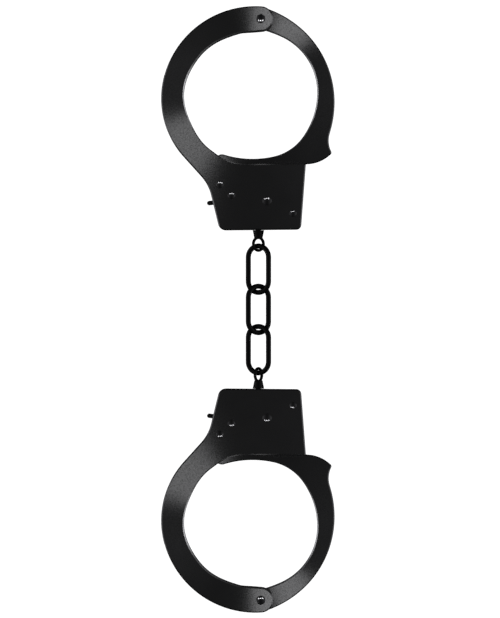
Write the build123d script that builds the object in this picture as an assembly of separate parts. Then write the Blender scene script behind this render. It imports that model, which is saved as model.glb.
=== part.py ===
from build123d import *
import os
from math import atan2, cos, degrees, hypot, pi, radians, sin, tan

# A pair of chain-linked handcuffs lying flat: cuff A towards +Y, cuff B its mirror image
# towards -Y. Units are millimetres, +Z is up and the cuffs rest on Z = 0.

# --- thickness stack ---
PLATE_T = 1.6
GAP = 3.8
BODY_T = 2 * PLATE_T + GAP
MID_Z = BODY_T / 2
ARM_T = 3.4
LEVER_T = 3.0
EDGE_BEVEL = 0.55

# --- plan of cuff A ---
HINGE = (5.9, 133.8)
HINGE_END_R = 5.7
BOW_OUTER_CENTRE = (3.35, 96.12)
BOW_SHOULDER_CENTRE = (-0.19, 97.12)
BOW_SHOULDER_R = 39.85
SHOULDER_START = 164.2
SHOULDER_END = 222
WAIST_RADIUS = 20
BODY_LEFT_TOP = (-18.3, 57.7)
BODY_LEFT_BOTTOM = (-13.1, 36.45)
BODY_RIGHT_BOTTOM = (24.4, 36.8)
BODY_RIGHT_TOP = (26.65, 67.0)
CORNER_RADII = (3.7, 2.3, 0.6)
BODY_THROAT = (-8.6, 67.0)
THROAT_RADIUS = 22
THROAT_END = (-17.5, 73.7)
THROAT_SLOPE = 37
PLATE_INNER = ((-25.75, 84.65), (-29.5, 100.0), (-23.9, 114.4), (-12.83, 123.95), (-3.9, 127.2))
PLATE_INNER_END = -85

# --- toothed swing arm: radii and angles are round the hinge, angles from straight down ---
TOOTH_TIP_R = 70.15
TOOTH_DEPTH = 1.1
TOOTH_PITCH = 2.0
TOOTH_LAND = 0.15
TOOTH_FACE_ANGLE = 28
TOOTH_CUT_PAST = 0.6
FIRST_TOOTH = -16.4
TOOTH_COUNT = 14
ARM_TIP_ANGLE = -17.4
SPUR_TOP = (38.35, 72.7)
SPUR_TIP = (37.95, 71.35)
SPUR_BULGE_R = 71.0
SPUR_BULGE_ANGLE = 22.8
SPUR_ANGLE = 17.6
ARM_EYE_R = 5.5
ARM_OUTER_CENTRE = (-6.77, 93.85)
ARM_OUTER_END = 47.7
ARM_SIDE_END = (39.9, 95.0)
ARM_TAPER_END = (37.7, 81.2)
ARM_LOW_CENTRE = (2.03, 114.13)
ARM_LOW_R = 44.74
ARM_LOW_START = -107
ARM_LOW_SPAN = 29.5
ARM_INNER = ((25.3, 79.5), (31.85, 100.0), (15.64, 125.6), (6.6, 128.9))
SWEEP_R = SPUR_BULGE_R + 0.15

# --- rivets and their running and static fits ---
SPACER_RIVET = (-13.0, 57.5)
LEVER_PIVOT = (-7.64, 52.44)
PAWL_PIVOT = (8.74, 49.96)
BLOCK_RIVET = (20.7, 44.2)
BIG_SHANK_R = 1.5
BIG_HEAD_R = 2.05
SMALL_SHANK_R = 1.1
SMALL_HEAD_R = 1.68
HEAD_RIM = 0.12
DOME_RISE = 0.42
TAIL_DEPTH = 1.1
TAIL_FLARE = 0.9
STATIC_GAP = 0.02
RUNNING_GAP = 0.06

# --- lock mechanism ---
PAWL_TEETH = 3
PAWL_FIRST_TOOTH = 1
PAWL_TRAVEL = 6.0
PAWL_BACKLASH = 0.2
PAWL_TIP_GAP = 0.3
PAWL_TOOTH_GAP = 0.2
PAWL_FACE_LEAD = 0.6
PAWL_FACE_TRAIL = 0.3
PAWL_HEEL = (7.4, 54.6)
PAWL_UNDERSIDE = ((-2.9, 51.4), (-3.2, 57.7), (-12.2, 62.7))
PAWL_BOSS_R = 3.7
PAWL_TAIL = 7.8
PAWL_TAIL_W = 3.0
FORK_GAP = 0.2
FORK_DEPTH = 6
FORK_SLOPE = 0.15
FORK_PAST_TIP = 0.6
FINGER_W = 2.2
FINGER_ROOT_OFFSET = (-1.5, -2.0)
FINGER_PAST_TIP = 0.2
SPRING_T = 0.5
SPRING_W = 3.0
SPRING_SEAT_X = 21.2
SPRING_SEAT_Y = 57.2
SPRING_BEND_X = 12.4
SPRING_BEND_R = 1.2
SPRING_INSET = 0.6
SPRING_GAP = 0.05
FILLER_INSET = 0.5
FILLER_TOP_R = 2
SPACER_LOW = 54.9
SPACER_HIGH = 59.2
SPACER_REACH = 2.2
BLOCK_FLOOR = 36
BLOCK_WALL_TOP = 39.6
BLOCK_LEFT = (-11.2, 45.0)
BLOCK_RIGHT = (18.5, 66)
SWIVEL_PAD_HALF = 4.5
SWIVEL_PAD_COVER = 1.4
LEVER_BOSS_R = 2.6
LEVER_TIP_R = 1.2
LEVER_NECK_W = 1.8
LEVER_TIP_REACH = 5.7
TAB_ROOT = (-13.6, 49.6)
TAB_END = (-17.9, 49.0)
TAB_T = 2.0
KEY_POST = (13.0, 44.2)
KEY_POST_R = 1.0
KEY_SPIGOT_R = 0.7
KEY_ROOM_R = 5.4
KEYHOLE_R = 2.4
KEYHOLE_SLOT = (1.7, 5.0)

# --- chain and swivels ---
CHAIN_X = 4.78
WIRE_R = 1.2
WIRE_AREA = pi * WIRE_R**2
LINK_LENGTH = 23.8
LINK_WIDTH = 12.7
LINK_PITCH = 18.55
LINK_TILT = 25.5
EYE_WIRE_R = 0.7
EYE_RING_R = 2.95
EYE_CROWN_Y = 27.2
EYE_NECK_BASE_R = 2.65
EYE_NECK_TIP_R = 1.9
EYE_NECK_TOP_Y = 36.45
EYE_SHANK_R = 1.3
EYE_HEAD_R = 1.75
EYE_SEAT_Y = 40.4
EYE_HEAD_T = 1.3
EYE_HEAD_GAP = 0.1
EYE_HEAD_ROOM = 0.15
EYE_GROOVE_R = 0.6
EYE_GROOVE_OFFSET = 2.55
EYE_GROOVE_L = 12
EYE_NECK_OVERLAP = 0.35
EYE_TURN_A = 38
EYE_TURN_B = 58


def polar(centre, radius, angle):
    """A point at an angle, in degrees from +X."""
    return (centre[0] + radius * cos(radians(angle)), centre[1] + radius * sin(radians(angle)))


def at_hinge(radius, angle):
    """A point at an angle round the hinge, in degrees from straight down towards +X."""
    return polar(HINGE, radius, angle - 90)


def slab(sketch, bottom, thickness):
    """A flat plan shape raised to a height and given a thickness."""
    return extrude(Pos(0, 0, bottom) * sketch, amount=thickness)


def hole(centre, radius):
    """A vertical cutter through the whole body."""
    return Pos(*centre, MID_Z) * Cylinder(radius, 2 * BODY_T)


def disc(centre, radius):
    """A round plan shape."""
    return Pos(*centre) * Circle(radius)


def bar(start, end, width):
    """A straight round-ended plan shape between two centres."""
    middle = ((start[0] + end[0]) / 2, (start[1] + end[1]) / 2)
    turn = degrees(atan2(end[1] - start[1], end[0] - start[0]))
    length = hypot(end[0] - start[0], end[1] - start[1])
    return Pos(*middle) * Rot(0, 0, turn) * SlotCenterToCenter(length, width)


def turned(shape, pivot, angle):
    """A shape turned about a vertical pivot."""
    return Pos(*pivot) * Rot(0, 0, angle) * Pos(-pivot[0], -pivot[1]) * shape


def plate_outline():
    """The cheek plate in plan: hinge end, bow, waist, lock body and throat."""
    dx = HINGE[0] - BOW_OUTER_CENTRE[0]
    dy = HINGE[1] - BOW_OUTER_CENTRE[1]
    bow_r = hypot(dx, dy) + HINGE_END_R
    crown_angle = 90 - Vector(0, 1).get_angle(Vector(dx, dy))
    hinge_end = CenterArc(HINGE, HINGE_END_R, PLATE_INNER_END, crown_angle - PLATE_INNER_END)
    bow = CenterArc(BOW_OUTER_CENTRE, bow_r, crown_angle, SHOULDER_START - crown_angle)
    shoulder = CenterArc(
        BOW_SHOULDER_CENTRE, BOW_SHOULDER_R, SHOULDER_START, SHOULDER_END - SHOULDER_START
    )
    body = FilletPolyline(
        shoulder @ 1, BODY_LEFT_TOP, BODY_LEFT_BOTTOM, BODY_RIGHT_BOTTOM, BODY_RIGHT_TOP,
        BODY_THROAT, THROAT_END, radius=[WAIST_RADIUS, *CORNER_RADII, THROAT_RADIUS],
    )
    inner = Spline(
        THROAT_END, *PLATE_INNER, hinge_end @ 0,
        tangents=[polar((0, 0), 1, 180 - THROAT_SLOPE), polar((0, 0), 1, PLATE_INNER_END + 90)],
    )
    joined = Line(bow @ 1, shoulder @ 0)
    return make_face([hinge_end, bow, joined, shoulder, body, inner])


def arm_outline():
    """The swing arm in plan, before its teeth are cut: eye, bow, spur, toothed run and nose."""
    dx = HINGE[0] - ARM_OUTER_CENTRE[0]
    dy = HINGE[1] - ARM_OUTER_CENTRE[1]
    outer_r = hypot(dx, dy) + ARM_EYE_R
    start_angle = 90 - Vector(0, 1).get_angle(Vector(dx, dy))
    top = CenterArc(ARM_OUTER_CENTRE, outer_r, start_angle, ARM_OUTER_END - start_angle)
    side = TangentArc(top @ 1, ARM_SIDE_END, tangent=top % 1)
    taper = TangentArc(side @ 1, ARM_TAPER_END, tangent=side % 1)
    neck = TangentArc(taper @ 1, SPUR_TOP, tangent=taper % 1)
    tip = TangentArc(SPUR_TOP, SPUR_TIP, tangent=neck % 1)
    spur_end = at_hinge(TOOTH_TIP_R, SPUR_ANGLE)
    bulge = ThreePointArc(SPUR_TIP, at_hinge(SPUR_BULGE_R, SPUR_BULGE_ANGLE), spur_end)
    toothed = CenterArc(HINGE, TOOTH_TIP_R, SPUR_ANGLE - 90, ARM_TIP_ANGLE - SPUR_ANGLE)
    low = CenterArc(ARM_LOW_CENTRE, ARM_LOW_R, ARM_LOW_START, ARM_LOW_SPAN)
    nose = TangentArc(low @ 0, toothed @ 1, tangent=-(low % 0))
    inner = [low]
    for point in ARM_INNER:
        inner.append(TangentArc(inner[-1] @ 1, point, tangent=inner[-1] % 1))
    root = Polyline(inner[-1] @ 1, HINGE, top @ 0)
    bow = make_face([top, side, taper, neck, tip, bulge, toothed, nose, *inner, root])
    return bow + disc(HINGE, ARM_EYE_R)


def tooth_space(tip_angle, tip_gap=0.0, backlash=0.0, past=TOOTH_CUT_PAST):
    """The plan of one ratchet notch, steep towards the arm's tip and eased where the pawl fills it."""
    degree = radians(1) * TOOTH_TIP_R
    lean = (TOOTH_DEPTH - tip_gap) * tan(radians(TOOTH_FACE_ANGLE)) / degree
    outside = past * tan(radians(TOOTH_FACE_ANGLE)) / degree
    ease = backlash / degree
    steep = tip_angle + ease
    ramp = tip_angle + TOOTH_PITCH - TOOTH_LAND - ease
    return make_face(Polyline(
        at_hinge(TOOTH_TIP_R + past, steep - outside),
        at_hinge(TOOTH_TIP_R - TOOTH_DEPTH + tip_gap, steep + lean),
        at_hinge(TOOTH_TIP_R, ramp),
        at_hinge(TOOTH_TIP_R + past, ramp),
        close=True,
    ))


def bevelled(solid, heights):
    """The solid with the outline edges of its faces at the given heights bevelled."""
    for height in heights:
        face = solid.faces().filter_by(Axis.Z).filter_by_position(Axis.Z, height, height)[0]
        solid = bevelled_loop(face.outer_wire().edges())
    return solid


def bevelled_loop(loop):
    """The solid with one loop of edges bevelled, tried from the longest edge, as only some can lead."""
    for lead in sorted(range(len(loop)), key=lambda index: -loop[index].length):
        try:
            solid = chamfer(loop[lead:] + loop[:lead], EDGE_BEVEL)
        except ValueError:
            continue
        if solid.is_valid:
            return solid
    raise ValueError("no edge of the loop can lead its bevel")


def rivet_tail(centre, shank_r, gap=0.0):
    """The flush countersunk end of a rivet, or with a gap the seat that takes it."""
    cone = Cone(shank_r + TAIL_FLARE + gap, shank_r + gap, TAIL_DEPTH)
    return Pos(*centre, TAIL_DEPTH / 2) * cone


def rivet(centre, shank_r, head_r):
    """A domed rivet through the whole body, flush underneath."""
    top = BODY_T + HEAD_RIM
    height = DOME_RISE * head_r
    cap_r = (head_r**2 + height**2) / (2 * height)
    dome = Pos(*centre, top + height - cap_r) * Sphere(cap_r)
    dome &= Pos(*centre, top + height / 2) * Cylinder(head_r + 1, height)
    rim = Pos(*centre, BODY_T + HEAD_RIM / 2) * Cylinder(head_r, HEAD_RIM)
    shank = Pos(*centre, MID_Z) * Cylinder(shank_r, BODY_T)
    return shank + rim + dome + rivet_tail(centre, shank_r)


RIVETS = {
    "hinge_rivet": (HINGE, BIG_SHANK_R, BIG_HEAD_R),
    "pawl_rivet": (PAWL_PIVOT, BIG_SHANK_R, BIG_HEAD_R),
    "lever_rivet": (LEVER_PIVOT, SMALL_SHANK_R, SMALL_HEAD_R),
    "spacer_rivet": (SPACER_RIVET, SMALL_SHANK_R, SMALL_HEAD_R),
    "block_rivet": (BLOCK_RIVET, SMALL_SHANK_R, SMALL_HEAD_R - 0.1),
}


def front_plate():
    """The upper cheek plate, bevelled on its outer face, with a blind socket for the key post."""
    plate = slab(plate_outline(), BODY_T - PLATE_T, PLATE_T)
    plate = bevelled(plate, [BODY_T])
    for centre, shank_r, _ in RIVETS.values():
        plate -= hole(centre, shank_r + STATIC_GAP)
    socket_depth = PLATE_T / 2
    socket = Cylinder(KEY_SPIGOT_R + STATIC_GAP, socket_depth)
    return plate - Pos(*KEY_POST, BODY_T - PLATE_T + socket_depth / 2) * socket


def rear_plate():
    """The lower cheek plate, with countersunk rivet seats and the keyhole."""
    plate = slab(plate_outline(), 0, PLATE_T)
    plate = bevelled(plate, [0])
    for centre, shank_r, _ in RIVETS.values():
        plate -= hole(centre, shank_r + STATIC_GAP)
        plate -= rivet_tail(centre, shank_r, STATIC_GAP)
    width, reach = KEYHOLE_SLOT
    foot = (KEY_POST[0], KEY_POST[1] - reach + width / 2)
    keyhole = disc(KEY_POST, KEYHOLE_R) + bar(KEY_POST, foot, width)
    return plate - slab(keyhole, -1, PLATE_T + 2)


def swing_arm():
    """The single toothed arm that swings between the cheek plates."""
    bottom = MID_Z - ARM_T / 2
    arm = slab(arm_outline(), bottom, ARM_T)
    arm = bevelled(arm, [bottom, bottom + ARM_T])
    for index in range(TOOTH_COUNT):
        notch = tooth_space(FIRST_TOOTH + index * TOOTH_PITCH)
        arm -= slab(notch, 0, BODY_T)
    return arm - hole(HINGE, BIG_SHANK_R + RUNNING_GAP)


def lever_tip():
    """The place of the lever's working tip when the lock is engaged, on the line of pivots."""
    line = Vector(*PAWL_PIVOT) - Vector(*LEVER_PIVOT)
    tip = Vector(*LEVER_PIVOT) + line.normalized() * LEVER_TIP_REACH
    return (tip.X, tip.Y)


def lever_travel():
    """The lever's turn, in degrees, that gives the pawl its travel."""
    pivots = hypot(PAWL_PIVOT[0] - LEVER_PIVOT[0], PAWL_PIVOT[1] - LEVER_PIVOT[1])
    return PAWL_TRAVEL * (pivots - LEVER_TIP_REACH) / LEVER_TIP_REACH


def pawl_finger():
    """The pawl's lower finger, which runs under the lever's tip."""
    tip_x, tip_y = lever_tip()
    drop = LEVER_TIP_R + FORK_GAP + FINGER_W / 2
    root = (PAWL_PIVOT[0] + FINGER_ROOT_OFFSET[0], PAWL_PIVOT[1] + FINGER_ROOT_OFFSET[1])
    return bar((tip_x + FINGER_PAST_TIP, tip_y - drop), root, FINGER_W)


def fork_slot():
    """The slot in the pawl that holds the lever's tip."""
    tip_x, tip_y = lever_tip()
    mouth = (tip_x - FORK_DEPTH, tip_y + FORK_DEPTH * FORK_SLOPE)
    bottom = (tip_x + FORK_PAST_TIP, tip_y - FORK_PAST_TIP * FORK_SLOPE)
    return bar(mouth, bottom, 2 * (LEVER_TIP_R + FORK_GAP))


def pawl():
    """The locking pawl, drawn with its teeth in the arm's notches and then turned out of them."""
    first = FIRST_TOOTH + PAWL_FIRST_TOOTH * TOOTH_PITCH
    head_r = TOOTH_TIP_R + PAWL_TIP_GAP
    face_span = PAWL_TEETH * TOOTH_PITCH + PAWL_FACE_LEAD + PAWL_FACE_TRAIL
    face = CenterArc(HINGE, head_r, first - PAWL_FACE_LEAD - 90, face_span)
    under = Polyline(face @ 1, PAWL_HEEL, PAWL_PIVOT, *PAWL_UNDERSIDE, face @ 0)
    outline = make_face([face, under]) + disc(PAWL_PIVOT, PAWL_BOSS_R) + pawl_finger()
    outline += bar(PAWL_PIVOT, (PAWL_PIVOT[0] + PAWL_TAIL, PAWL_PIVOT[1]), PAWL_TAIL_W)
    outline -= fork_slot()
    for index in range(PAWL_TEETH):
        tip_angle = first + index * TOOTH_PITCH
        outline += tooth_space(tip_angle, PAWL_TOOTH_GAP, PAWL_BACKLASH)
    solid = slab(outline, MID_Z - ARM_T / 2, ARM_T)
    solid -= hole(PAWL_PIVOT, BIG_SHANK_R + RUNNING_GAP)
    return turned(solid, PAWL_PIVOT, PAWL_TRAVEL)


def release_lever():
    """The lever whose tab sticks out of the body and whose tip works the pawl's fork."""
    line = Vector(*PAWL_PIVOT) - Vector(*LEVER_PIVOT)
    tip_angle = degrees(atan2(line.Y, line.X)) - lever_travel()
    tip = polar(LEVER_PIVOT, LEVER_TIP_REACH, tip_angle)
    outline = disc(LEVER_PIVOT, LEVER_BOSS_R) + disc(tip, LEVER_TIP_R)
    outline += bar(LEVER_PIVOT, tip, LEVER_NECK_W)
    outline += bar(LEVER_PIVOT, TAB_ROOT, TAB_T) + bar(TAB_ROOT, TAB_END, TAB_T)
    solid = slab(outline, MID_Z - LEVER_T / 2, LEVER_T)
    return solid - hole(LEVER_PIVOT, SMALL_SHANK_R + RUNNING_GAP)


def pawl_spring():
    """The hairpin leaf spring that presses on the pawl's tail, seated in the lock block."""
    tail_x = PAWL_PIVOT[0] + PAWL_TAIL
    rise = PAWL_TAIL * tan(radians(PAWL_TRAVEL)) + PAWL_TAIL_W / 2
    contact = (tail_x - SPRING_INSET, PAWL_PIVOT[1] + rise + SPRING_T / 2 + SPRING_GAP)
    seat = (SPRING_SEAT_X, SPRING_SEAT_Y)
    bend = (SPRING_BEND_X, SPRING_SEAT_Y)
    path = FilletPolyline(seat, bend, contact, radius=SPRING_BEND_R)
    strip = trace(path, SPRING_T)
    return slab(strip, MID_Z - SPRING_W / 2, SPRING_W)


def inside_plan():
    """The lock body's plan drawn in from the plates' edge and kept clear of the arm's sweep."""
    above = BODY_RIGHT_TOP[1] + BODY_T
    left = BODY_LEFT_TOP[0] + BODY_LEFT_TOP[1] - above
    sides = FilletPolyline(
        (left, above), BODY_LEFT_TOP, BODY_LEFT_BOTTOM, BODY_RIGHT_BOTTOM, BODY_RIGHT_TOP,
        (BODY_RIGHT_TOP[0] - 1, above), radius=[FILLER_TOP_R, *CORNER_RADII],
    )
    outline = make_face([sides, Line(sides @ 1, sides @ 0)])
    return offset(outline, -FILLER_INSET) - disc(HINGE, SWEEP_R)


def region(left, bottom, right, top):
    """A rectangular plan shape given by its sides."""
    width = right - left
    height = top - bottom
    return Pos(left + width / 2, bottom + height / 2) * Rectangle(width, height)


def left_spacer():
    """The small block that holds the plates apart at the spacer rivet."""
    left = BODY_LEFT_TOP[0] - FILLER_TOP_R
    right = SPACER_RIVET[0] + SPACER_REACH
    outline = inside_plan() & region(left, SPACER_LOW, right, SPACER_HIGH)
    outline -= disc(SPACER_RIVET, SMALL_SHANK_R + STATIC_GAP)
    return slab(outline, PLATE_T, GAP)


def lock_block():
    """The filler that walls the lock in on the right and below, and seats the swivel eye."""
    left = BODY_LEFT_TOP[0]
    right = BODY_RIGHT_TOP[0]
    pad_top = EYE_SEAT_Y + EYE_HEAD_T + SWIVEL_PAD_COVER
    walls = region(left, BLOCK_FLOOR, right, BLOCK_WALL_TOP)
    walls += region(left, BLOCK_FLOOR, *BLOCK_LEFT)
    walls += region(BLOCK_RIGHT[0], BLOCK_FLOOR, right, BLOCK_RIGHT[1])
    walls += region(CHAIN_X - SWIVEL_PAD_HALF, BLOCK_FLOOR, CHAIN_X + SWIVEL_PAD_HALF, pad_top)
    outline = inside_plan() & walls
    outline -= disc(KEY_POST, KEY_ROOM_R)
    outline -= disc(BLOCK_RIVET, SMALL_SHANK_R + STATIC_GAP)
    block = slab(outline - spring_seat(), PLATE_T, GAP)
    return block - swivel_room()


def spring_seat():
    """The slot in the lock block that grips the spring's fixed end."""
    half = SPRING_T / 2 + SPRING_GAP
    left = BLOCK_RIGHT[0] - 2 * SPRING_BEND_R
    right = SPRING_SEAT_X + 2 * SPRING_GAP
    return region(left, SPRING_SEAT_Y - half, right, SPRING_SEAT_Y + half)


def swivel_room():
    """The bore, slot and head space in the lock block that the swivel eye's shank is laid into."""
    half = EYE_HEAD_R + EYE_HEAD_ROOM
    head_top = EYE_SEAT_Y + EYE_HEAD_T + 2 * EYE_HEAD_GAP
    bore_r = EYE_SHANK_R + RUNNING_GAP
    below = BLOCK_FLOOR - EYE_SHANK_R
    head = slab(region(CHAIN_X - half, EYE_SEAT_Y, CHAIN_X + half, head_top), 0, BODY_T)
    slot = slab(region(CHAIN_X - bore_r, below, CHAIN_X + bore_r, EYE_SEAT_Y), 0, MID_Z)
    return head + slot + along_chain(bore_r, below, EYE_SEAT_Y)


def key_post():
    """The pin that centres the key, with a thinner spigot pressed into the front plate."""
    bottom = PLATE_T / 2
    shoulder = BODY_T - PLATE_T
    pin = slab(disc(KEY_POST, KEY_POST_R), bottom, shoulder - bottom)
    return pin + slab(disc(KEY_POST, KEY_SPIGOT_R), shoulder, PLATE_T / 2)


def along_chain(radius, low, high, end_radius=None):
    """A round bar or cone on the chain's line between two Y values."""
    length = high - low
    shape = Cylinder(radius, length) if end_radius is None else Cone(end_radius, radius, length)
    return Pos(CHAIN_X, (low + high) / 2, MID_Z) * Rot(90, 0, 0) * shape


def swivel_eye(turn):
    """The swivelling eye: ring, grooved neck, shank and captive head, turned about its shank."""
    ring_y = EYE_CROWN_Y + EYE_RING_R
    neck_low = ring_y + EYE_RING_R - EYE_NECK_OVERLAP
    neck = along_chain(EYE_NECK_TIP_R, neck_low, EYE_NECK_TOP_Y, EYE_NECK_BASE_R)
    for side in (1, -1):
        groove = along_chain(EYE_GROOVE_R, ring_y, ring_y + EYE_GROOVE_L)
        neck -= Pos(0, 0, side * EYE_GROOVE_OFFSET) * groove
    ring = Pos(CHAIN_X, ring_y, MID_Z) * Torus(EYE_RING_R, EYE_WIRE_R)
    head_low = EYE_SEAT_Y + EYE_HEAD_GAP
    shank = along_chain(EYE_SHANK_R, EYE_NECK_TOP_Y, head_low)
    head = along_chain(EYE_HEAD_R, head_low, EYE_SEAT_Y + EYE_HEAD_T)
    eye = neck + ring + shank + head
    pivot = Pos(CHAIN_X, 0, MID_Z)
    return pivot * Rot(0, turn, 0) * pivot.inverse() * eye


def chain_link(centre_y, tilt):
    """One welded oval link, tilted about the chain's line."""
    crown_r = LINK_WIDTH / 2 - WIRE_R
    half_straight = (LINK_LENGTH - LINK_WIDTH) / 2
    path = SlotOverall(LINK_LENGTH - 2 * WIRE_R, 2 * crown_r, rotation=90).wire()
    start = path @ 0
    section = Plane(origin=start, z_dir=path % 0) * Circle(WIRE_R)
    link = sweep(section, path=path)
    expected = WIRE_AREA * (4 * half_straight + 2 * pi * crown_r)
    print("link at", centre_y, "volume", round(link.volume, 1), "expected", round(expected, 1))
    return Pos(CHAIN_X, centre_y, MID_Z) * Rot(0, -tilt, 0) * link


def cuff_pieces():
    """The pieces of cuff A that cuff B repeats as mirror images."""
    pieces = {
        "front_cheek_plate": front_plate(),
        "rear_cheek_plate": rear_plate(),
        "swing_arm": swing_arm(),
        "pawl": pawl(),
        "release_lever": release_lever(),
        "pawl_spring": pawl_spring(),
        "left_spacer": left_spacer(),
        "lock_block": lock_block(),
        "key_post": key_post(),
    }
    for name, (centre, shank_r, head_r) in RIVETS.items():
        pieces[name] = rivet(centre, shank_r, head_r)
    return pieces


def save(name, shape):
    """Write one named piece."""
    export_step(shape, f"parts/{name}.step")


def main():
    os.makedirs("parts", exist_ok=True)
    for name, shape in cuff_pieces().items():
        save(f"{name}_a", shape)
        save(f"{name}_b", mirror(shape, about=Plane.XZ))
    save("swivel_eye_a", swivel_eye(EYE_TURN_A))
    save("swivel_eye_b", mirror(swivel_eye(EYE_TURN_B), about=Plane.XZ))
    for index, place in enumerate((1, 0, -1)):
        tilt = LINK_TILT if place else -LINK_TILT
        save(f"chain_link_{index + 1}", chain_link(place * LINK_PITCH, tilt))
    print("lever travel", round(lever_travel(), 3), "pawl travel", PAWL_TRAVEL)


main()
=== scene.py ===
from math import cos, pi, radians, sin

import bpy
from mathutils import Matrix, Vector


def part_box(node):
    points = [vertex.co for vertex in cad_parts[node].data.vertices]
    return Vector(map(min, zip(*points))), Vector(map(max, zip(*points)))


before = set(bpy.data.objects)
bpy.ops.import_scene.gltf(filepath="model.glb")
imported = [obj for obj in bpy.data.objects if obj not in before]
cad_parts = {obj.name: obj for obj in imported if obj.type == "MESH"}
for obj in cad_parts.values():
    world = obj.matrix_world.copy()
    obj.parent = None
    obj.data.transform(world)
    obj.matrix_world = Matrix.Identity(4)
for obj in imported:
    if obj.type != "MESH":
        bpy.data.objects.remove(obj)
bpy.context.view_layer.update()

# --- view: a long lens straight above, framed at the plates' top ---
FRAME_HEIGHT = 0.28428
VIEW_CENTRE = (0.0009, 0.0002)
PLATE_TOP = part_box("front_cheek_plate_a")[1].z
LENS = 200.0
SENSOR = 36.0
CLIP_START = 0.05
CLIP_END = 20.0

# --- cuff A's wrist opening; cuff B's is its mirror image ---
BOW_CENTRE = (0.0009, 0.1000)
CUFFS = {"a": 1, "b": -1}

# --- floor: a light table below the reach of a hanging cuff, lit evenly from both sides ---
FLOOR_DROP = 0.22
FLOOR_SPAN = 8.0
FLOOR_TINT = (0.12, 0.12, 0.12, 1)
FLOOR_GLOW = 0.92
FLOOR_ROUGH = 0.9
FLOOR_LAMP_SIDE = 1.4
FLOOR_LAMP_HEIGHT = 0.9
FLOOR_LAMP_SIZE = (1.6, 1.6)
FLOOR_LAMP_POWER = 40

# --- lamps on the cuffs: angles in degrees round each bow, mirrored for cuff B ---
KEY_AZIMUTH = 59
KEY_ELEVATION = 45
KEY_DISTANCE = 1.0
KEY_SIZE = (0.34, 0.30)
KEY_POWER = 12.3

# --- small lamps over each bow, at an X from its centre and a height ---
GLINT_PLACES = ((-0.040, 0.046), (0.0, 0.052), (0.040, 0.046))
GLINT_SIZE = (0.026, 0.014)
GLINT_POWER = 0.075

# --- room: the bands are ranges of a direction's X or Z ---
ROOM_TINT = (0.98, 0.98, 1.0, 1)
OVERHEAD = 0.17
SIDE_GLOW = 0.6
HORIZON_BAND = (-0.05, 0.15)
RIM_GLOW = 2.0
RIM_SIDE_BAND = (0.85, 0.97)
RIM_HEIGHT_BAND = (0.2, 0.08)

# --- finishes: linear tints and roughness ---
PLATE_TINT = (0.052, 0.052, 0.053)
ARM_TINT = (0.045, 0.045, 0.046)
RIVET_TINT = (0.030, 0.030, 0.031)
CHAIN_TINT = (0.010, 0.010, 0.010)
LEVER_TINT = (0.015, 0.015, 0.015)
LOCK_TINT = (0.32, 0.32, 0.33)
SPRING_TINT = (0.45, 0.45, 0.46)
COAT_GRAZING_TINT = (0.4, 0.4, 0.4, 1)
COAT_ROUGH = 0.30
BEVEL_ROUGH = 0.16
RIVET_ROUGH = 0.17
PLAIN_ROUGH = 0.35
SPRING_ROUGH = 0.22

# --- brushing: its lean in degrees, from each angle round the bow on ---
PLATE_LEAN = ((80, -19), (200, 20), (250, 9))
ARM_LEAN = ((80, 0), (200, 0))

# --- painted edge highlight, a lighter colour painted on the inward bevels in place of a reflection: ranges of the normal, the cosine of the angle or the speck, then what they give ---
PAINTED_EDGE_HIGHLIGHT_TINT = (0.30, 0.30, 0.305, 1)
EDGE_HIGHLIGHT_FACING = (-0.25, -0.6)
EDGE_HIGHLIGHT_SLOPE = (0.3, 0.6)
EDGE_HIGHLIGHT_FLANK = (0.3, 0.9, 0.35, 1.0)
EDGE_HIGHLIGHT_SPECK = (0.35, 0.6, 0.6, 1.0)
FLAT_NORMAL = (0.93, 0.99)

# --- grain: noise scales per metre, the brushing's second per radian, and how far each noise is felt ---
FINE_DETAIL = 3.0
SPECK_SCALE = 1400.0
COAT_CLOUD_SCALE = 55.0
BARE_CLOUD_SCALE = 90.0
BRUSH_SCALES = (9000.0, 3.0)
MILL_SCALES = (300.0, 6000.0)
COAT_CLOUD_SPREAD = 0.2
BARE_CLOUD_SPREAD = 0.18
SPECK_BAND = (0.3, 0.7)
SPECK_ROUGHENS = 0.04
MILL_BAND = (0.2, 0.8)
MILL_SMOOTHS = 0.08
MILL_ROUGHENS = 0.1
SPECK_RELIEF = 0.7
BRUSH_RELIEF = 0.2
RELIEF = 0.15
RELIEF_DEPTH = 0.0001

RIVETS = ("hinge_rivet", "pawl_rivet", "lever_rivet", "spacer_rivet", "block_rivet")
MATERIAL_OF = {
    "plate": ("front_cheek_plate", "rear_cheek_plate"),
    "arm": ("swing_arm",),
    "rivet": RIVETS,
    "chain": ("swivel_eye", "chain_link"),
    "lever": ("release_lever",),
    "lock": ("pawl", "left_spacer", "lock_block", "key_post"),
    "spring": ("pawl_spring",),
}


def kind_of(node):
    """The key of the material that a node wears."""
    base = node.rsplit("_", 1)[0]
    return next(kind for kind, bases in MATERIAL_OF.items() if base in bases)


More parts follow.
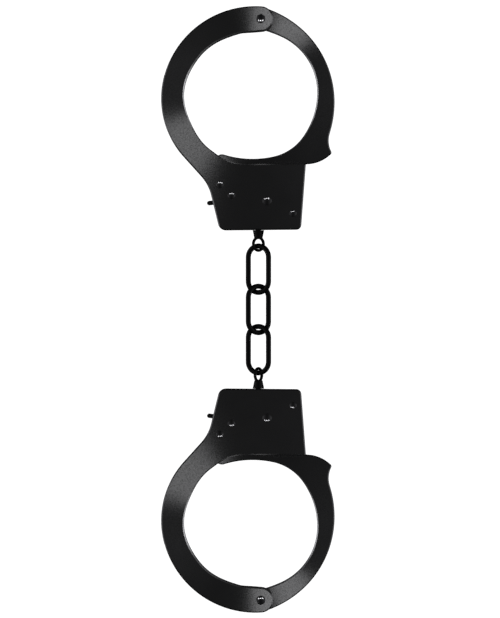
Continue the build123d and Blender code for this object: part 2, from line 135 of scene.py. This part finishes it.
class Graph:
    """Short calls for wiring the nodes of a material or a world."""

    def __init__(self, owner):
        self.owner = owner
        self.nodes = owner.node_tree.nodes
        self.links = owner.node_tree.links
        self.shader = self.nodes.get("Principled BSDF")

    @classmethod
    def material(cls, name):
        """The graph of a new material."""
        material = bpy.data.materials.new(name)
        material.use_nodes = True
        return cls(material)

    def feed(self, socket, value):
        """Links a socket, or sets a constant."""
        if isinstance(value, bpy.types.NodeSocket):
            self.links.new(value, socket)
        else:
            socket.default_value = value

    def coordinate(self, kind):
        """A texture coordinate."""
        return self.nodes.new("ShaderNodeTexCoord").outputs[kind]

    def math(self, operation, a, b=0.0):
        """One sum on numbers or sockets."""
        node = self.nodes.new("ShaderNodeMath")
        node.operation = operation
        self.feed(node.inputs[0], a)
        self.feed(node.inputs[1], b)
        return node.outputs[0]

    def smooth(self, value, low, high, out_low=0.0, out_high=1.0):
        """A smooth step from one value to another."""
        node = self.nodes.new("ShaderNodeMapRange")
        node.interpolation_type = "SMOOTHSTEP"
        for index, item in enumerate((value, low, high, out_low, out_high)):
            self.feed(node.inputs[index], item)
        return node.outputs[0]

    def vector(self, x, y, z=0.0):
        """A vector of three values."""
        node = self.nodes.new("ShaderNodeCombineXYZ")
        for index, item in enumerate((x, y, z)):
            self.feed(node.inputs[index], item)
        return node.outputs[0]

    def split(self, value):
        """A vector's three values."""
        node = self.nodes.new("ShaderNodeSeparateXYZ")
        self.links.new(value, node.inputs[0])
        return node.outputs

    def to_world(self, value):
        """A direction fixed to the object, turned as the object is turned."""
        node = self.nodes.new("ShaderNodeVectorTransform")
        node.vector_type = "VECTOR"
        node.convert_from = "OBJECT"
        node.convert_to = "WORLD"
        self.links.new(value, node.inputs[0])
        return node.outputs[0]

    def noise(self, vector, scale, detail=4.0):
        """A cloudy noise from 0 to 1."""
        node = self.nodes.new("ShaderNodeTexNoise")
        self.links.new(vector, node.inputs["Vector"])
        node.inputs["Scale"].default_value = scale
        node.inputs["Detail"].default_value = detail
        return node.outputs["Fac"]

    def mix(self, factor, a, b):
        """One colour over another."""
        node = self.nodes.new("ShaderNodeMix")
        node.data_type = "RGBA"
        sockets = [item for item in node.inputs if item.enabled]
        for socket, item in zip(sockets, (factor, a, b)):
            self.feed(socket, item)
        return next(item for item in node.outputs if item.enabled)

    def bump(self, height):
        """A fine relief."""
        node = self.nodes.new("ShaderNodeBump")
        node.inputs["Strength"].default_value = RELIEF
        node.inputs["Distance"].default_value = RELIEF_DEPTH
        self.links.new(height, node.inputs["Height"])
        return node.outputs["Normal"]


def make_camera():
    """The camera, looking straight down."""
    data = bpy.data.cameras.new("camera")
    data.lens = LENS
    data.sensor_width = SENSOR
    data.clip_start = CLIP_START
    data.clip_end = CLIP_END
    camera = bpy.data.objects.new("camera", data)
    bpy.context.scene.collection.objects.link(camera)
    camera.location = (*VIEW_CENTRE, PLATE_TOP + LENS / SENSOR * FRAME_HEIGHT)
    bpy.context.scene.camera = camera


def make_floor():
    """A plain pale floor, kept out of the metal's reflections."""
    bpy.ops.mesh.primitive_plane_add(size=FLOOR_SPAN, location=(0, 0, -FLOOR_DROP))
    floor = bpy.context.object
    floor.name = "floor"
    floor.visible_glossy = False
    graph = Graph.material("floor")
    graph.shader.inputs["Base Color"].default_value = FLOOR_TINT
    graph.shader.inputs["Emission Color"].default_value = (1, 1, 1, 1)
    graph.shader.inputs["Emission Strength"].default_value = FLOOR_GLOW
    graph.shader.inputs["Roughness"].default_value = FLOOR_ROUGH
    floor.data.materials.append(graph.owner)
    return floor


def make_world():
    """A dim room: lighter to the left and right, with a bright rim at the horizon there, and dark below."""
    world = bpy.data.worlds.new("studio")
    bpy.context.scene.world = world
    world.use_nodes = True
    graph = Graph(world)
    background = graph.nodes["Background"]
    background.inputs["Color"].default_value = ROOM_TINT
    x, _, z = graph.split(graph.coordinate("Generated"))
    glow = graph.math("MULTIPLY", graph.math("MULTIPLY", x, x), SIDE_GLOW)
    sky = graph.smooth(z, *HORIZON_BAND)
    above = graph.math("MULTIPLY", sky, graph.math("ADD", glow, OVERHEAD))
    sideways = graph.smooth(graph.math("ABSOLUTE", x), *RIM_SIDE_BAND)
    level = graph.smooth(graph.math("ABSOLUTE", z), *RIM_HEIGHT_BAND, 0.0, RIM_GLOW)
    strength = graph.math("ADD", above, graph.math("MULTIPLY", sideways, level))
    graph.feed(background.inputs["Strength"], strength)


def collect(floor):
    """Collections of what each lamp lights: each cuff, each cuff's rivets, and the floor."""
    names = ["floor"] + [kind + side for side in CUFFS for kind in ("cuff_", "rivets_")]
    lit = {name: bpy.data.collections.new(f"lit_{name}") for name in names}
    for name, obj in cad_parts.items():
        kind = kind_of(name)
        if kind != "chain":
            group = "rivets_" if kind == "rivet" else "cuff_"
            lit[group + name[-1]].objects.link(obj)
    lit["floor"].objects.link(floor)
    return lit


def lamp(name, place, target, size, power, receivers):
    """A rectangular softbox that looks at a target and lights only one collection."""
    data = bpy.data.lights.new(name, "AREA")
    data.shape = "RECTANGLE"
    data.size, data.size_y = size
    data.energy = power
    obj = bpy.data.objects.new(name, data)
    bpy.context.scene.collection.objects.link(obj)
    obj.location = place
    obj.visible_camera = False
    obj.light_linking.receiver_collection = receivers
    obj.rotation_euler = (Vector(target) - obj.location).to_track_quat("-Z", "Y").to_euler()


def around(centre, azimuth, elevation, distance):
    """A place at a direction and distance from a centre."""
    flat = cos(radians(elevation)) * distance
    x = centre[0] + flat * cos(radians(azimuth))
    y = centre[1] + flat * sin(radians(azimuth))
    return (x, y, sin(radians(elevation)) * distance)


def make_lights(lit):
    """A pair of softboxes for the floor, and for each cuff a key and the glints on its rivets."""
    for side in (-1, 1):
        place = (side * FLOOR_LAMP_SIDE, 0, FLOOR_LAMP_HEIGHT)
        lamp(f"floor_soft_{side + 1}", place, (0, 0, 0), FLOOR_LAMP_SIZE, FLOOR_LAMP_POWER, lit["floor"])
    for name, mirror in CUFFS.items():
        centre = (BOW_CENTRE[0], mirror * BOW_CENTRE[1], 0)
        key = around(centre, mirror * KEY_AZIMUTH, KEY_ELEVATION, KEY_DISTANCE)
        lamp(f"key_{name}", key, centre, KEY_SIZE, KEY_POWER, lit[f"cuff_{name}"])
        for index, (x, z) in enumerate(GLINT_PLACES):
            place = (centre[0] + x, centre[1], z)
            lamp(f"glint_{name}_{index}", place, centre, GLINT_SIZE, GLINT_POWER, lit[f"rivets_{name}"])


def shades(tint, spread):
    """A darker and a lighter version of a tint, as colours."""
    return [tuple(c * factor for c in tint) + (1,) for factor in (1 - spread, 1 + spread)]


def bow_polar(graph, coords):
    """Side of the chain, radius and angle round the wrist opening of whichever cuff a point is on."""
    x, y, _ = graph.split(coords)
    side = graph.math("SIGN", y)
    dx = graph.math("SUBTRACT", x, BOW_CENTRE[0])
    dy = graph.math("SUBTRACT", graph.math("ABSOLUTE", y), BOW_CENTRE[1])
    squares = graph.math("ADD", graph.math("MULTIPLY", dx, dx), graph.math("MULTIPLY", dy, dy))
    return side, graph.math("SQRT", squares), graph.math("ARCTAN2", dy, dx)


def brush_across(graph, side, angle, lean):
    """The direction across the brushing, which runs round the opening and leans as it goes."""
    turn = graph.math("MODULO", graph.math("ADD", angle, 2 * pi), 2 * pi)
    across = graph.math("ADD", angle, radians(lean[0][1]))
    for (start, before), (end, after) in zip(lean, lean[1:]):
        step = graph.smooth(turn, radians(start), radians(end), 0.0, radians(after - before))
        across = graph.math("ADD", across, step)
    y = graph.math("MULTIPLY", graph.math("SINE", across), side)
    return graph.to_world(graph.vector(graph.math("COSINE", across), y))


def painted_edge_highlight(graph, side, angle, speck):
    """Where a highlight is painted into the coat's colour: the bevels that face the wrist, most at the
    bow's two sides.
    """
    nx, ny, nz = graph.split(graph.coordinate("Normal"))
    outward = graph.math("MULTIPLY", nx, graph.math("COSINE", angle))
    rise = graph.math("MULTIPLY", graph.math("MULTIPLY", ny, side), graph.math("SINE", angle))
    facing = graph.smooth(graph.math("ADD", outward, rise), *EDGE_HIGHLIGHT_FACING)
    bevel = graph.smooth(graph.math("ABSOLUTE", nz), *EDGE_HIGHLIGHT_SLOPE)
    flank = graph.smooth(graph.math("ABSOLUTE", graph.math("COSINE", angle)), *EDGE_HIGHLIGHT_FLANK)
    highlit = graph.math("MULTIPLY", graph.math("MULTIPLY", facing, bevel), flank)
    return graph.math("MULTIPLY", highlit, graph.smooth(speck, *EDGE_HIGHLIGHT_SPECK))


def coat_relief(graph, radius, angle, speck):
    """Fine specks, with faint rings from the brushing."""
    across, along = BRUSH_SCALES
    rings = graph.vector(graph.math("MULTIPLY", radius, across), graph.math("MULTIPLY", angle, along))
    brushed = graph.math("MULTIPLY", graph.noise(rings, 1.0, FINE_DETAIL), BRUSH_RELIEF)
    return graph.bump(graph.math("ADD", graph.math("MULTIPLY", speck, SPECK_RELIEF), brushed))


def coated_steel(name, tint, rough, lean=None):
    """Black satin coat over steel; with a lean it is brushed round the opening and has a highlight painted
    on its inward edge.
    """
    graph = Graph.material(name)
    shader = graph.shader
    coords = graph.coordinate("Object")
    side, radius, angle = bow_polar(graph, coords)
    speck = graph.noise(coords, SPECK_SCALE, FINE_DETAIL)
    colour = graph.mix(graph.noise(coords, COAT_CLOUD_SCALE), *shades(tint, COAT_CLOUD_SPREAD))
    roughness = graph.smooth(speck, *SPECK_BAND, rough - SPECK_ROUGHENS, rough + SPECK_ROUGHENS)
    if lean:
        # a lighter colour painted on the wrist-facing bevels as a highlight
        colour = graph.mix(painted_edge_highlight(graph, side, angle, speck), colour, PAINTED_EDGE_HIGHLIGHT_TINT)
        flat = graph.math("ABSOLUTE", graph.split(graph.coordinate("Normal"))[2])
        roughness = graph.smooth(flat, *FLAT_NORMAL, BEVEL_ROUGH, roughness)
        shader.inputs["Anisotropic"].default_value = 1.0
        graph.feed(shader.inputs["Tangent"], brush_across(graph, side, angle, lean))
    shader.inputs["Metallic"].default_value = 1.0
    shader.inputs["Specular Tint"].default_value = COAT_GRAZING_TINT
    graph.feed(shader.inputs["Base Color"], colour)
    graph.feed(shader.inputs["Roughness"], roughness)
    graph.feed(shader.inputs["Normal"], coat_relief(graph, radius, angle, speck))
    return graph.owner


def bare_steel(name, tint, rough):
    """Plain machined steel of the lock's insides, milled along X."""
    graph = Graph.material(name)
    shader = graph.shader
    coords = graph.coordinate("Object")
    x, y, z = graph.split(coords)
    along, across = MILL_SCALES
    milled = graph.vector(graph.math("MULTIPLY", x, along), graph.math("MULTIPLY", y, across), z)
    lines = graph.noise(milled, 1.0, FINE_DETAIL)
    colour = graph.mix(graph.noise(coords, BARE_CLOUD_SCALE), *shades(tint, BARE_CLOUD_SPREAD))
    roughness = graph.smooth(lines, *MILL_BAND, rough - MILL_SMOOTHS, rough + MILL_ROUGHENS)
    shader.inputs["Metallic"].default_value = 1.0
    graph.feed(shader.inputs["Base Color"], colour)
    graph.feed(shader.inputs["Roughness"], roughness)
    graph.feed(shader.inputs["Normal"], graph.bump(lines))
    return graph.owner


def make_materials():
    """One finish for each kind of piece."""
    return {
        "plate": coated_steel("plate_coat", PLATE_TINT, COAT_ROUGH, PLATE_LEAN),
        "arm": coated_steel("arm_coat", ARM_TINT, COAT_ROUGH, ARM_LEAN),
        "rivet": coated_steel("rivet_coat", RIVET_TINT, RIVET_ROUGH),
        "chain": coated_steel("chain_coat", CHAIN_TINT, PLAIN_ROUGH),
        "lever": coated_steel("lever_coat", LEVER_TINT, PLAIN_ROUGH),
        "lock": bare_steel("lock_steel", LOCK_TINT, PLAIN_ROUGH),
        "spring": bare_steel("spring_steel", SPRING_TINT, SPRING_ROUGH),
    }


def dress(materials):
    """Gives every CAD node its material."""
    for name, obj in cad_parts.items():
        obj.data.materials.clear()
        obj.data.materials.append(materials[kind_of(name)])


def main():
    """Builds the scene round the frame's pieces."""
    bpy.context.scene.view_settings.view_transform = "Standard"
    make_camera()
    floor = make_floor()
    make_world()
    dress(make_materials())
    make_lights(collect(floor))


main()
